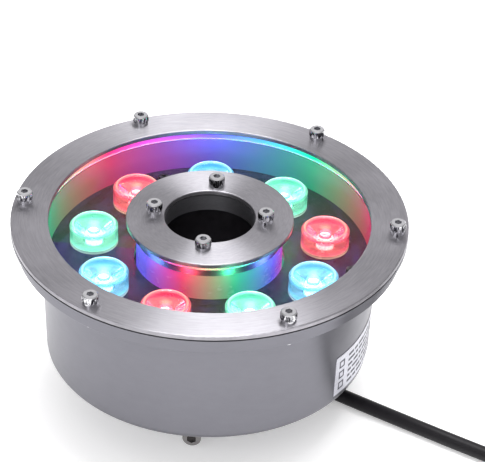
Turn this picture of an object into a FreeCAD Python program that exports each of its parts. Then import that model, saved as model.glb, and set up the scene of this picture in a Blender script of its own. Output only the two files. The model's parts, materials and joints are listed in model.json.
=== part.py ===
"""Ring-shaped underwater pond light with nine LED lenses and a clamp collar for a fountain riser.

Frame: +Z up, millimetres. The origin is on the lamp's axis, on the surface that the collar
stands on. The front screw of the collar points along -Y and the cable leaves on the +X side.
Angles are in degrees, counter-clockwise from +X, seen from above.
"""
import FreeCAD
import Part

import math
import os
import re

import Sketcher
from FreeCAD import Placement, Rotation, Vector

# Driving dimensions: alias, value, meaning. Lengths in mm, angles in degrees.
DIMENSIONS = (
    ("collar_height", 25.0, "clamp collar, from the floor to the housing bottom"),
    ("collar_inner", 30.0, "clamp collar inner radius"),
    ("collar_outer", 36.0, "clamp collar outer radius"),
    ("collar_chamfer", 0.6, "bevel round the collar's rims"),
    ("body_height", 69.0, "housing bottom to the top face of the press rings"),
    ("wall_low", 75.0, "housing wall outer radius at the bottom"),
    ("wall_high", 76.6, "housing wall outer radius under the rim"),
    ("rim_radius", 88.0, "outer radius of the thick rim under the flange"),
    ("rim_depth", 10.5, "press ring top face to the rim's underside"),
    ("sheet", 1.6, "housing and tube sheet thickness"),
    ("corner_outer", 3.6, "rounding of the housing's bottom edge"),
    ("corner_inner", 2.0, "the same rounding, inside"),
    ("flange_radius", 90.0, "flange and outer press ring outer radius"),
    ("step_radius", 79.2, "inner radius of the step that holds the glass"),
    ("window_radius", 73.0, "outer press ring inner radius"),
    ("press_thick", 2.0, "press ring thickness"),
    ("press_round", 0.5, "rounding of the press rings' top edges"),
    ("gasket_thick", 0.7, "gaskets between the press rings and the glass"),
    ("seat_gasket", 0.8, "gaskets under the glass"),
    ("glass_thick", 4.0, "tempered glass thickness"),
    ("glass_inner", 29.0, "glass inner radius"),
    ("glass_outer", 78.5, "glass outer radius"),
    ("glass_bevel", 0.4, "bevel on the glass edges"),
    ("bore", 20.65, "through hole radius at the hub"),
    ("hub_land", 28.4, "outer radius of the hub's raised land"),
    ("hub_depth", 10.5, "press ring top face to the hub's underside"),
    ("spigot_long", 5.0, "hub spigot length inside the tube"),
    ("spigot_inner", 29.6, "hub spigot inner radius"),
    ("tube_radius", 33.4, "centre tube outer radius"),
    ("inner_press", 38.0, "inner press ring outer radius"),
    ("outer_circle", 84.9, "pitch radius of the outer screws"),
    ("outer_count", 6, "number of outer screws"),
    ("inner_circle", 25.4, "pitch radius of the inner screws"),
    ("inner_count", 4, "number of inner screws"),
    ("screw_shank", 2.0, "M4 screw radius"),
    ("screw_free", 2.2, "M4 clearance hole radius"),
    ("screw_head", 3.5, "M4 head radius"),
    ("screw_head_tall", 4.0, "M4 head height"),
    ("screw_key", 1.5, "M4 hexagon socket, half across flats"),
    ("screw_key_deep", 2.2, "M4 hexagon socket depth"),
    ("inner_long", 8.0, "length of the inner M4 screws under the head"),
    ("outer_long", 13.0, "length of the outer M4 screws under the head"),
    ("washer_thick", 1.2, "spring lock washer thickness"),
    ("washer_gap", 0.9, "slit of the spring lock washer"),
    ("clamp_shank", 2.5, "M5 clamp screw radius"),
    ("clamp_tapped", 2.55, "tapped hole radius for the clamp screw"),
    ("clamp_head", 4.25, "M5 head radius"),
    ("clamp_head_tall", 5.0, "M5 head height"),
    ("clamp_key", 2.0, "M5 hexagon socket, half across flats"),
    ("clamp_key_deep", 2.6, "M5 hexagon socket depth"),
    ("clamp_long", 30.0, "M5 screw length under the head"),
    ("clamp_drop", 14.6, "clamp screw axis below the housing bottom"),
    ("clamp_seat", 52.2, "radius of the clamp screw head's underside"),
    ("clamp_count", 3, "number of clamp screws"),
    ("clamp_first", -90.0, "direction of the first clamp screw"),
    ("board_drop", 22.5, "press ring top face to the LED board's top face"),
    ("board_thick", 1.6, "LED board and driver board thickness"),
    ("plate_thick", 2.0, "aluminium carrier thickness"),
    ("board_inner", 34.4, "LED board inner radius"),
    ("board_outer", 73.6, "LED board outer radius"),
    ("led_circle", 54.0, "pitch radius of the LEDs"),
    ("led_first", 16.25, "direction of the first LED"),
    ("led_count", 9, "number of LEDs"),
    ("holder_radius", 11.1, "lens holder outer radius"),
    ("holder_wall", 0.9, "lens holder wall"),
    ("holder_tall", 8.6, "lens holder height above the board"),
    ("holder_foot", 1.0, "lens holder floor thickness"),
    ("holder_throat", 5.0, "radius of the opening round the emitter"),
    ("lens_top", 10.0, "lens top face above the board"),
    ("lens_rim", 1.8, "thickness of the lens's rim disc"),
    ("lens_cone_top", 8.6, "lens cone radius under the rim"),
    ("lens_cone_low", 4.2, "lens cone radius at its small end"),
    ("lens_low", 2.4, "small end of the lens above the board"),
    ("lens_pocket", 3.0, "radius of the pocket over the emitter"),
    ("lens_pocket_deep", 2.4, "depth of the pocket over the emitter"),
    ("emitter_radius", 4.0, "emitter base radius"),
    ("emitter_base", 1.2, "emitter base thickness"),
    ("dome_radius", 2.4, "emitter dome radius"),
    ("bracket_wide", 12.0, "board bracket width"),
    ("bracket_tall", 12.0, "board bracket leg height"),
    ("bracket_deep", 12.3, "board bracket shelf depth"),
    ("bracket_back", 73.9, "outer face of the bracket's leg"),
    ("bracket_thick", 1.5, "board bracket thickness"),
    ("bracket_circle", 66.0, "pitch radius of the board screws"),
    ("bracket_first", -3.75, "direction of the first bracket"),
    ("bracket_count", 3, "number of brackets"),
    ("small_shank", 1.5, "M3 screw radius"),
    ("small_free", 1.7, "M3 clearance hole radius"),
    ("small_head", 2.8, "M3 head radius"),
    ("small_head_tall", 2.0, "M3 head height"),
    ("small_key", 1.0, "M3 hexagon socket, half across flats"),
    ("small_key_deep", 1.2, "M3 hexagon socket depth"),
    ("small_long", 6.0, "M3 screw length under the head"),
    ("driver_inner", 39.0, "driver board inner radius"),
    ("driver_outer", 67.0, "driver board outer radius"),
    ("driver_span", 150.0, "angle that the driver board spans"),
    ("driver_first", 105.0, "direction of the driver board's first edge"),
    ("spacer_tall", 8.0, "driver board height above the housing floor"),
    ("spacer_radius", 3.0, "driver spacer radius"),
    ("spacer_circle", 53.0, "pitch radius of the driver spacers"),
    ("spacer_count", 3, "number of driver spacers"),
    ("spacer_spread", 130.0, "angle between the first and last spacer"),
    ("capacitor_radius", 5.0, "driver capacitor radius"),
    ("capacitor_tall", 16.0, "driver capacitor height"),
    ("capacitor_circle", 58.0, "pitch radius of the capacitors"),
    ("capacitor_count", 3, "number of capacitors"),
    ("capacitor_spread", 30.0, "angle between the first and last capacitor"),
    ("capacitor_first", 130.0, "direction of the first capacitor"),
    ("inductor_radius", 6.5, "inductor ring radius"),
    ("inductor_section", 2.6, "inductor section radius"),
    ("inductor_circle", 53.0, "distance of the inductor from the axis"),
    ("inductor_at", 205.0, "direction of the inductor"),
    ("gland_circle", 48.5, "distance of the cable gland from the axis"),
    ("gland_at", 1.0, "direction of the cable gland"),
    ("gland_hole", 6.1, "gland hole radius"),
    ("gland_thread", 6.0, "gland thread radius"),
    ("gland_hex", 7.5, "gland hexagon, half across flats"),
    ("gland_hex_tall", 3.5, "gland hexagon height"),
    ("gland_up", 8.0, "gland thread length above the housing bottom"),
    ("gland_neck", 5.6, "radius of the neck under the cap"),
    ("gland_wall", 5.0, "inner radius of the gland body"),
    ("gland_cap_tall", 6.5, "gland cap height"),
    ("gland_cap_radius", 7.6, "gland cap outer radius"),
    ("locknut_tall", 3.0, "locknut height"),
    ("cable_radius", 3.4, "supply cable radius"),
    ("stub_above", 12.0, "cable jacket inside the housing, above its bottom"),
    ("lead_radius", 0.8, "internal lead radius"),
    ("lead_straight", 8.0, "height at which the internal leads leave the jacket's end"),
    ("lead_bend", 18.0, "height at which the internal leads run straight up again"),
    ("lead_shift", 2.5, "sideways step of the internal leads"),
    ("label_low", 64.0, "label's lower edge below the press ring top face"),
    ("label_high", 42.5, "label's upper edge below the press ring top face"),
    ("label_first", -34.0, "direction of the label's first edge"),
    ("label_span", 42.5, "angle that the label spans"),
    ("label_thick", 0.2, "label thickness"),
    ("coil_x", 184.8, "coil centre, X"),
    ("coil_y", -16.3, "coil centre, Y"),
    ("coil_middle", 37.5, "middle radius of the coil's turns"),
    ("coil_across", 3, "turns side by side"),
    ("coil_layers", 2, "layers of turns"),
    ("coil_lift", 0.8, "height of the coil above the floor, on its ties"),
    ("coil_round", 3.0, "rounding of the coil's outline"),
    ("tie_gap", 0.25, "space between the coil and its ties"),
    ("tie_thick", 0.5, "coil tie thickness"),
    ("tie_wide", 6.0, "coil tie width"),
    ("tie_first", -50.0, "direction of the first tie"),
    ("plug_radius", 6.4, "connector radius"),
    ("plug_boot", 16.0, "length of the connector's bend relief"),
    ("plug_grip", 24.0, "length of the connector's grip"),
    ("plug_nose", 9.0, "length of the connector's nose"),
    ("plug_nose_radius", 5.2, "connector nose radius"),
    ("pin_radius", 0.6, "connector pin radius"),
    ("pin_circle", 2.2, "pitch radius of the connector pins"),
)

# The cable's route from the gland's mouth to the coil, as the corner points of its runs.
CABLE_ROUTE = (
    (48.49, 0.85, 15.0),
    (48.49, 0.85, 8.4),
    (52.9, -1.3, 3.4),
    (63.5, -6.8, 3.4),
    (84.9, -17.6, 3.4),
    (126.2, -37.8, 3.5),
    (166.1, -56.4, 4.2),
)

# The cable's end, from the coil's last turn round the coil to the connector beside it.
CABLE_TAIL = (
    (224.9, -35.0, 11.0),
    (229.5, -18.6, 11.0),
    (229.1, -1.1, 10.8),
    (224.1, 15.5, 8.9),
    (214.2, 29.0, 6.5),
    (200.4, 38.0, 6.5),
)

SIZES = {alias: value for alias, value, _ in DIMENSIONS}
FULL_TURN = 360

# Heights that several pieces share, as expressions of the driving dimensions.
BOTTOM = "collar_height"
RING_TOP = "collar_height + body_height"
PRESS_LOW = f"{RING_TOP} - press_thick"
FLANGE_TOP = f"{PRESS_LOW} - gasket_thick"
FLANGE_LOW = f"{FLANGE_TOP} - sheet"
GLASS_LOW = f"{FLANGE_TOP} - glass_thick"
SEAT = f"{GLASS_LOW} - seat_gasket"
RIM_LOW = f"{RING_TOP} - rim_depth"
HUB_LOW = f"{RING_TOP} - hub_depth"
WASHER_TOP = f"{RING_TOP} + washer_thick"
BOARD_TOP = f"{RING_TOP} - board_drop"
BOARD_LOW = f"{BOARD_TOP} - board_thick"
PLATE_LOW = f"{BOARD_LOW} - plate_thick"
DRIVER_LOW = "collar_height + sheet + spacer_tall"
DRIVER_TOP = f"{DRIVER_LOW} + board_thick"
GLAND_LOW = "collar_height - gland_hex_tall - gland_cap_tall"
WALL_INNER = "wall_high - sheet"

doc = FreeCAD.newDocument("pond_light")
sheet = doc.addObject("Spreadsheet::Sheet", "Dimensions")
parts = []


def fill_sheet():
    """Write each driving dimension into a cell of its own, with its meaning beside it."""
    for row, (alias, value, meaning) in enumerate(DIMENSIONS, start=1):
        sheet.set(f"A{row}", meaning)
        sheet.set(f"B{row}", str(value))
        sheet.setAlias(f"B{row}", alias)
    doc.recompute()


def bound(expression):
    """The expression with each alias written as a cell of the sheet."""
    def cell(word):
        return f"Dimensions.{word[0]}" if word[0] in SIZES else word[0]
    return re.sub(r"[a-z_]+", cell, str(expression))


def number(expression):
    """The expression's value."""
    return float(sheet.evalExpression(bound(expression)))


def bind(thing, name, expression):
    thing.setExpression(name, bound(expression))


def keep(thing, label):
    """Name a finished sub-part, whose label is also its file's name."""
    thing.Label = label
    parts.append(thing)
    return thing


# ---- Sketches and features -----------------------------------------------------------------

def new_body(label, many=False):
    """A body; with many, it may hold several separate solids, as a set of equal screws does."""
    body = doc.addObject("PartDesign::Body", label)
    body.AllowCompound = many
    return keep(body, label)


def origin_feature(body, role):
    return next(item for item in body.Origin.OriginFeatures if item.Role == role)


def new_sketch(body, name, plane="XY_Plane", height=0):
    """An empty sketch on one of the body's own planes, raised by the height."""
    sketch = body.newObject("Sketcher::SketchObject", name)
    sketch.AttachmentSupport = [(origin_feature(body, plane), "")]
    sketch.MapMode = "FlatFace"
    bind(sketch, "AttachmentOffset.Base.z", height)
    return sketch


def pin_point(sketch, edge, end, x, y):
    """Hold an edge's end at (x, y), both expressions."""
    for kind, value in (("DistanceX", x), ("DistanceY", y)):
        index = sketch.addConstraint(
            Sketcher.Constraint(kind, -1, 1, edge, end, number(value)))
        bind(sketch, f"Constraints[{index}]", value)


def draw_outline(sketch, corners):
    """A closed outline of straight edges through the corners, pairs of expressions."""
    first = sketch.GeometryCount
    points = [Vector(number(x), number(y), 0) for x, y in corners]
    for start, end in zip(points, points[1:] + points[:1]):
        sketch.addGeometry(Part.LineSegment(start, end), False)
    for index, (x, y) in enumerate(corners):
        following = first + (index + 1) % len(corners)
        sketch.addConstraint(Sketcher.Constraint("Coincident", first + index, 2, following, 1))
        pin_point(sketch, first + index, 1, x, y)


def draw_circle(sketch, x, y, radius):
    centre = Vector(number(x), number(y), 0)
    edge = sketch.addGeometry(Part.Circle(centre, Vector(0, 0, 1), number(radius)), False)
    pin_point(sketch, edge, 3, x, y)
    index = sketch.addConstraint(Sketcher.Constraint("Radius", edge, number(radius)))
    bind(sketch, f"Constraints[{index}]", radius)


def draw_hexagon(sketch, x, half_flats):
    """A hexagon centred at (x, 0), with flats facing the origin."""
    reach = f"({half_flats}) / cos(30)"
    draw_outline(sketch, [(f"{x} + {reach} * cos({turn})", f"{reach} * sin({turn})")
                          for turn in range(30, FULL_TURN, 60)])


def draw_axis(sketch, x):
    """A construction line along Z at distance x, to turn an outline about."""
    start, end = Vector(number(x), 0, 0), Vector(number(x), 1, 0)
    line = sketch.addGeometry(Part.LineSegment(start, end), True)
    pin_point(sketch, line, 1, x, 0)
    pin_point(sketch, line, 2, x, 1)


def revolve(body, name, corners, centre=0, angle=FULL_TURN):
    """Turn an outline of (radius, height) corners about the upright line at the centre."""
    sketch = new_sketch(body, name + "_outline", "XZ_Plane")
    draw_outline(sketch, [(f"{centre} + {radius}", height) for radius, height in corners])
    draw_axis(sketch, centre)
    feature = body.newObject("PartDesign::Revolution", name)
    feature.Profile = sketch
    feature.ReferenceAxis = (sketch, ["Axis0"])
    bind(feature, "Angle", angle)
    return feature


def pad(body, name, sketch, length, midplane=False):
    feature = body.newObject("PartDesign::Pad", name)
    feature.Profile = sketch
    feature.Midplane = midplane
    bind(feature, "Length", length)
    return feature


def pocket(body, name, sketch, depth=None, forward=False):
    """Cut a sketch backward or forward along its normal; with no depth, through everything."""
    before = body.Shape.Volume
    feature = body.newObject("PartDesign::Pocket", name)
    feature.Profile = sketch
    feature.Reversed = forward
    if depth is None:
        feature.Type = "ThroughAll"
    else:
        bind(feature, "Length", depth)
    doc.recompute()
    if feature.Shape.Volume >= before - 1e-6:
        raise RuntimeError(f"{body.Label}: {name} cuts nothing")
    return feature


def polar(body, name, originals, count, angle=FULL_TURN):
    """Repeat features about the body's Z axis."""
    feature = body.newObject("PartDesign::PolarPattern", name)
    feature.Originals = originals
    feature.Axis = (origin_feature(body, "Z_Axis"), [""])
    bind(feature, "Angle", angle)
    bind(feature, "Occurrences", count)
    body.Tip = feature
    return feature


def round_edges(body, name, radius, wanted):
    """Round each circular edge of the body for which wanted(edge radius, height) is true."""
    doc.recompute()
    names = []
    for index, edge in enumerate(body.Shape.Edges, start=1):
        curve = edge.Curve
        if isinstance(curve, Part.Circle) and wanted(curve.Radius, curve.Center.z):
            names.append(f"Edge{index}")
    base = body.Tip
    feature = body.newObject("PartDesign::Fillet", name)
    feature.Base = (base, names)
    bind(feature, "Radius", radius)
    body.Tip = feature
    return feature


def near(first, expression):
    return abs(first - number(expression)) < 1e-4


def turn_about_axis(thing, angle):
    """Turn a finished sub-part about the lamp's axis."""
    thing.Placement = Placement(Vector(), Rotation(Vector(0, 0, 1), number(angle)))
    bind(thing, "Placement.Rotation.Angle", angle)


def stand_at(thing, radius, angle):
    """Move an upright sub-part to a distance and direction from the lamp's axis."""
    bind(thing, "Placement.Base.x", f"({radius}) * cos({angle})")
    bind(thing, "Placement.Base.y", f"({radius}) * sin({angle})")


def band(label, inner, outer, low, high, many=False):
    """A plain ring."""
    body = new_body(label, many)
    corners = [(inner, low), (outer, low), (outer, high), (inner, high)]
    revolve(body, "ring", corners)
    doc.recompute()
    return body


def drill_circle(body, name, circle, radius, count, low=0, depth=None, first=0):
    """A circle of equal upright holes, cut upward from a height."""
    sketch = new_sketch(body, name + "_outline", "XY_Plane", low)
    draw_circle(sketch, f"({circle}) * cos({first})", f"({circle}) * sin({first})", radius)
    hole = pocket(body, name, sketch, depth, forward=True)
    return polar(body, name + "_circle", [hole], count)


# ---- Screws and washers --------------------------------------------------------------------

def cap_screw(body, name, centre, seat, kind, long):
    """An upright socket head screw whose head stands on the seat height."""
    head, tall = f"{kind}_head", f"{kind}_head_tall"
    bevel, tip_bevel = f"{head} * 0.12", f"{kind}_shank * 0.2"
    shank, low, top = f"{kind}_shank", f"{seat} - {long}", f"{seat} + {tall}"
    corners = [
        (0, low), (f"{shank} - {tip_bevel}", low), (shank, f"{low} + {tip_bevel}"), (shank, seat),
        (head, seat), (head, f"{top} - {bevel}"), (f"{head} - {bevel}", top), (0, top)]
    turned = revolve(body, name, corners, centre)
    doc.recompute()
    sketch = new_sketch(body, name + "_key", "XY_Plane", top)
    draw_hexagon(sketch, centre, f"{kind}_key")
    socket = pocket(body, name + "_socket", sketch, f"{kind}_key_deep")
    return [turned, socket]


def screw_set(label, circle, seat, kind, long, count, first=0):
    """Equal screws on a circle, in one sub-part."""
    body = new_body(label, many=True)
    features = cap_screw(body, "screw", circle, seat, kind, long)
    polar(body, "screws", features, count)
    turn_about_axis(body, first)


def make_lock_washers():
    """Ten spring washers, one under each ring screw, each with its slit."""
    body = new_body("lock_washers", many=True)
    for name, circle, count in (("outer", "outer_circle", "outer_count"),
                                ("inner", "inner_circle", "inner_count")):
        corners = [("screw_shank", RING_TOP), ("screw_head", RING_TOP),
                   ("screw_head", WASHER_TOP), ("screw_shank", WASHER_TOP)]
        washer = revolve(body, name, corners, circle)
        doc.recompute()
        sketch = new_sketch(body, name + "_slit_outline", "XY_Plane", WASHER_TOP)
        low, high = f"{circle} - washer_gap / 2", f"{circle} + washer_gap / 2"
        draw_outline(sketch, [(low, "-(screw_head + 1)"), (high, "-(screw_head + 1)"),
                              (high, "-(screw_shank - 1)"), (low, "-(screw_shank - 1)")])
        slit = pocket(body, name + "_slit", sketch, "washer_thick")
        polar(body, name + "_circle", [washer, slit], count)


# ---- Housing -------------------------------------------------------------------------------

def make_housing_cup():
    """Cup with a thick rim that holds the glass's seat, the flange and the six tapped holes."""
    body = new_body("housing_cup")
    low_inner, floor = "wall_low - sheet", "collar_height + sheet"
    corners = [
        ("tube_radius", BOTTOM), ("wall_low", BOTTOM), ("wall_high", RIM_LOW),
        ("rim_radius", RIM_LOW), ("rim_radius", FLANGE_LOW), ("flange_radius", FLANGE_LOW),
        ("flange_radius", FLANGE_TOP), ("step_radius", FLANGE_TOP), ("step_radius", SEAT),
        (WALL_INNER, SEAT), (low_inner, floor), ("tube_radius", floor)]
    revolve(body, "shell", corners)
    doc.recompute()
    round_edges(body, "bottom_round", "corner_outer",
                lambda radius, z: near(radius, "wall_low") and near(z, BOTTOM))
    round_edges(body, "bottom_round_inside", "corner_inner",
                lambda radius, z: near(radius, low_inner) and near(z, floor))
    round_edges(body, "rim_round", "press_round",
                lambda radius, z: near(radius, "rim_radius") and near(z, RIM_LOW))
    doc.recompute()
    drill_circle(body, "tapped_hole", "outer_circle", "screw_shank", "outer_count")
    doc.recompute()
    drill_circle(body, "gland_opening", "gland_circle", "gland_hole", 1, first="gland_at")


def make_hub_ring():
    """Thick ring on the centre tube: raised land, glass seat, spigot and four tapped holes."""
    body = new_body("hub_ring")
    spigot_outer = "tube_radius - sheet - 0.05"
    corners = [
        ("bore", HUB_LOW), ("spigot_inner", HUB_LOW), ("spigot_inner", f"{HUB_LOW} - spigot_long"),
        (spigot_outer, f"{HUB_LOW} - spigot_long"), (spigot_outer, HUB_LOW),
        ("tube_radius", HUB_LOW), ("tube_radius", SEAT), ("hub_land", SEAT),
        ("hub_land", FLANGE_TOP), ("bore", FLANGE_TOP)]
    revolve(body, "hub", corners)
    doc.recompute()
    low = f"{WASHER_TOP} - inner_long - 1"
    drill_circle(body, "tapped_hole", "inner_circle", "screw_shank", "inner_count",
                 low, f"{FLANGE_TOP} - ({low})")


def make_clamp_collar():
    """Collar under the housing, with a tapped hole for each clamp screw."""
    body = new_body("clamp_collar")
    edge = "collar_chamfer"
    corners = [
        ("collar_inner", edge), (f"collar_inner + {edge}", 0), (f"collar_outer - {edge}", 0),
        ("collar_outer", edge), ("collar_outer", BOTTOM), ("collar_inner", BOTTOM)]
    revolve(body, "collar", corners)
    doc.recompute()
    sketch = new_sketch(body, "clamp_hole_outline", "XZ_Plane")
    draw_circle(sketch, 0, "collar_height - clamp_drop", "clamp_tapped")
    hole = pocket(body, "clamp_hole", sketch, forward=True)
    middle = Vector(0, -number("(collar_inner + collar_outer) / 2"), number("collar_height - clamp_drop"))
    if hole.Shape.isInside(middle, 1e-3, True):
        raise RuntimeError("the first clamp hole is not on the -Y side")
    polar(body, "clamp_holes", [hole], "clamp_count")


def make_clamp_screws():
    """Three equal screws that point at the axis and close on the riser pipe."""
    for index in range(int(number("clamp_count"))):
        body = new_body(f"clamp_screw_{index + 1}")
        cap_screw(body, "screw", 0, 0, "clamp", "clamp_long")
        angle = f"clamp_first + {index} * {FULL_TURN} / clamp_count"
        heading = math.radians(number(angle))
        body.Placement = Placement(
            Vector(), Rotation(Vector(0, 0, 1), Vector(math.cos(heading), math.sin(heading), 0)))
        stand_at(body, "clamp_seat", angle)
        bind(body, "Placement.Base.z", "collar_height - clamp_drop")


# ---- Glass and its clamping ----------------------------------------------------------------

def make_press_rings():
    rings = (("outer_press_ring", "window_radius", "flange_radius", "outer_circle", "outer_count"),
             ("inner_press_ring", "bore", "inner_press", "inner_circle", "inner_count"))
    for label, inner, outer, circle, count in rings:
        body = band(label, inner, outer, PRESS_LOW, RING_TOP)
        drill_circle(body, "screw_hole", circle, "screw_free", count, PRESS_LOW)
        round_edges(body, "edge_round", "press_round",
                    lambda radius, z: near(z, RING_TOP) and not near(radius, "screw_free"))


def make_gaskets():
    outer = band("outer_top_gasket", "window_radius + 1", "flange_radius - 0.4",
                 FLANGE_TOP, PRESS_LOW)
    drill_circle(outer, "screw_hole", "outer_circle", "screw_free", "outer_count", FLANGE_TOP)
    inner = band("inner_top_gasket", "bore + 0.5", "inner_press - 1.5", FLANGE_TOP, PRESS_LOW)
    drill_circle(inner, "screw_hole", "inner_circle", "screw_free", "inner_count", FLANGE_TOP)
    band("outer_seat_gasket", f"{WALL_INNER} + 0.4", "glass_outer", SEAT, GLASS_LOW)
    band("inner_seat_gasket", "glass_inner", "tube_radius - 0.2", SEAT, GLASS_LOW)


def make_window_glass():
    body = new_body("window_glass")
    edge = "glass_bevel"
    low, top = GLASS_LOW, FLANGE_TOP
    revolve(body, "glass", [
        (f"glass_inner + {edge}", low), (f"glass_outer - {edge}", low),
        ("glass_outer", f"{low} + {edge}"), ("glass_outer", f"{top} - {edge}"),
        (f"glass_outer - {edge}", top), (f"glass_inner + {edge}", top),
        ("glass_inner", f"{top} - {edge}"), ("glass_inner", f"{low} + {edge}")])


# ---- Light source --------------------------------------------------------------------------

def make_light_plates():
    """The aluminium carrier and the LED board on it, with holes for the bracket screws."""
    plates = (("heat_plate", PLATE_LOW, BOARD_LOW), ("led_board", BOARD_LOW, BOARD_TOP))
    for label, low, top in plates:
        body = band(label, "board_inner", "board_outer", low, top)
        drill_circle(body, "screw_hole", "bracket_circle", "small_free", "bracket_count",
                     low, first="bracket_first")


def make_board_brackets():
    """Three angle brackets on the inside of the wall, with a tapped hole in each shelf."""
    body = new_body("board_brackets", many=True)
    back, top = "bracket_back", PLATE_LOW
    sketch = new_sketch(body, "angle_outline", "XZ_Plane")
    draw_outline(sketch, [
        (back, f"{top} - bracket_tall"), (back, top), (f"{back} - bracket_deep", top),
        (f"{back} - bracket_deep", f"{top} - bracket_thick"),
        (f"{back} - bracket_thick", f"{top} - bracket_thick"),
        (f"{back} - bracket_thick", f"{top} - bracket_tall")])
    angle = pad(body, "angle", sketch, "bracket_wide", midplane=True)
    doc.recompute()
    hole_sketch = new_sketch(body, "hole_outline", "XY_Plane", top)
    draw_circle(hole_sketch, "bracket_circle", 0, "small_shank")
    hole = pocket(body, "hole", hole_sketch, "bracket_thick")
    polar(body, "brackets", [angle, hole], "bracket_count")
    turn_about_axis(body, "bracket_first")


def make_lenses():
    """Nine round holders on the board, each with a collimator lens that it holds by the rim."""
    holder = [
        ("holder_throat", BOARD_TOP), ("holder_radius", BOARD_TOP),
        ("holder_radius", f"{BOARD_TOP} + holder_tall"),
        ("holder_radius - holder_wall", f"{BOARD_TOP} + holder_tall"),
        ("holder_radius - holder_wall", f"{BOARD_TOP} + holder_foot"),
        ("holder_throat", f"{BOARD_TOP} + holder_foot")]
    low, top = f"{BOARD_TOP} + lens_low", f"{BOARD_TOP} + lens_top"
    rim_low, rim_radius = f"{top} - lens_rim", "holder_radius - holder_wall - 0.1"
    lens = [
        (0, f"{low} + lens_pocket_deep"), ("lens_pocket", f"{low} + lens_pocket_deep"),
        ("lens_pocket", low), ("lens_cone_low", low), ("lens_cone_top", rim_low),
        (rim_radius, rim_low), (rim_radius, f"{top} - 0.3"), (f"{rim_radius} - 0.3", top), (0, top)]
    for index in range(int(number("led_count"))):
        angle = f"led_first + {index} * {FULL_TURN} / led_count"
        for label, corners in ((f"lens_holder_{index + 1}", holder), (f"lens_{index + 1}", lens)):
            body = new_body(label)
            revolve(body, "turned", corners)
            stand_at(body, "led_circle", angle)


def make_emitters():
    """Red, green and blue emitters in turn round the board, three of each."""
    colours = ("red", "green", "blue")
    per_colour = f"led_count / {len(colours)}"
    for index, colour in enumerate(colours):
        body = new_body(f"emitters_{colour}", many=True)
        top = f"{BOARD_TOP} + emitter_base"
        shoulder = "dome_radius * 0.7"
        corners = [
            (0, BOARD_TOP), ("emitter_radius", BOARD_TOP), ("emitter_radius", top),
            ("dome_radius", top), (shoulder, f"{top} + {shoulder} * 0.75"),
            (0, f"{top} + dome_radius * 0.75")]
        emitter = revolve(body, "emitter", corners, "led_circle")
        polar(body, "emitters", [emitter], per_colour)
        turn_about_axis(body, f"led_first + {index} * {FULL_TURN} / led_count")


# ---- Driver and internal wiring ------------------------------------------------------------

def make_driver():
    """The driver board on three spacers, its capacitors and its inductor."""
    board = new_body("driver_board")
    corners = [("driver_inner", DRIVER_LOW), ("driver_outer", DRIVER_LOW),
               ("driver_outer", DRIVER_TOP), ("driver_inner", DRIVER_TOP)]
    revolve(board, "sector", corners, angle="driver_span")
    doc.recompute()
    edge_gap = "(driver_span - spacer_spread) / 2"
    sketch = new_sketch(board, "screw_hole_outline", "XY_Plane", DRIVER_LOW)
    draw_circle(sketch, f"spacer_circle * cos({edge_gap})", f"spacer_circle * sin({edge_gap})",
                "small_free")
    hole = pocket(board, "screw_hole", sketch, "board_thick", forward=True)
    polar(board, "screw_holes", [hole], "spacer_count", "spacer_spread")
    turn_about_axis(board, "driver_first")

    spacers = new_body("driver_spacers", many=True)
    floor = "collar_height + sheet"
    spacer = revolve(spacers, "spacer", [
        ("small_shank", floor), ("spacer_radius", floor), ("spacer_radius", DRIVER_LOW),
        ("small_shank", DRIVER_LOW)], "spacer_circle")
    polar(spacers, "spacers", [spacer], "spacer_count", "spacer_spread")
    turn_about_axis(spacers, f"driver_first + {edge_gap}")

    screws = new_body("driver_screws", many=True)
    features = cap_screw(screws, "screw", "spacer_circle", DRIVER_TOP, "small", "small_long")
    polar(screws, "screws", features, "spacer_count", "spacer_spread")
    turn_about_axis(screws, f"driver_first + {edge_gap}")

    capacitors = new_body("driver_capacitors", many=True)
    top = f"{DRIVER_TOP} + capacitor_tall"
    can = revolve(capacitors, "can", [
        (0, DRIVER_TOP), ("capacitor_radius", DRIVER_TOP), ("capacitor_radius", f"{top} - 0.6"),
        ("capacitor_radius - 0.6", top), (0, top)], "capacitor_circle")
    polar(capacitors, "cans", [can], "capacitor_count", "capacitor_spread")
    turn_about_axis(capacitors, "capacitor_first")

    inductor = keep(doc.addObject("Part::Torus", "driver_inductor"), "driver_inductor")
    bind(inductor, "Radius1", "inductor_radius")
    bind(inductor, "Radius2", "inductor_section")
    stand_at(inductor, "inductor_circle", "inductor_at")
    bind(inductor, "Placement.Base.z", f"{DRIVER_TOP} + inductor_section")


def tube_along(route, radius):
    """A round tube along straight runs, each corner an arc as large as its runs allow."""
    points = [Vector(*point) for point in route]
    edges, radii = [], []
    start = points[0]
    for before, corner, after in zip(points, points[1:], points[2:]):
        incoming, outgoing = corner - before, after - corner
        half_turn = incoming.getAngle(outgoing) / 2
        setback = 0.45 * min(incoming.Length, outgoing.Length)
        radii.append(setback / math.tan(half_turn))
        arc_start = corner - incoming.normalize() * setback
        arc_end = corner + outgoing.normalize() * setback
        inward = ((arc_start + arc_end) / 2 - corner).normalize()
        middle = corner + inward * (setback / math.sin(half_turn) - radii[-1])
        edges.append(Part.LineSegment(start, arc_start).toShape())
        edges.append(Part.Arc(arc_start, middle, arc_end).toShape())
        start = arc_end
    edges.append(Part.LineSegment(start, points[-1]).toShape())
    path = Part.Wire(edges)
    section = Part.Wire(Part.Circle(points[0], points[1] - points[0], radius).toShape())
    solid = path.makePipeShell([section], True, False)
    ratio = solid.Volume / (math.pi * radius ** 2 * path.Length)
    return solid, path.Length, radii, ratio


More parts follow.
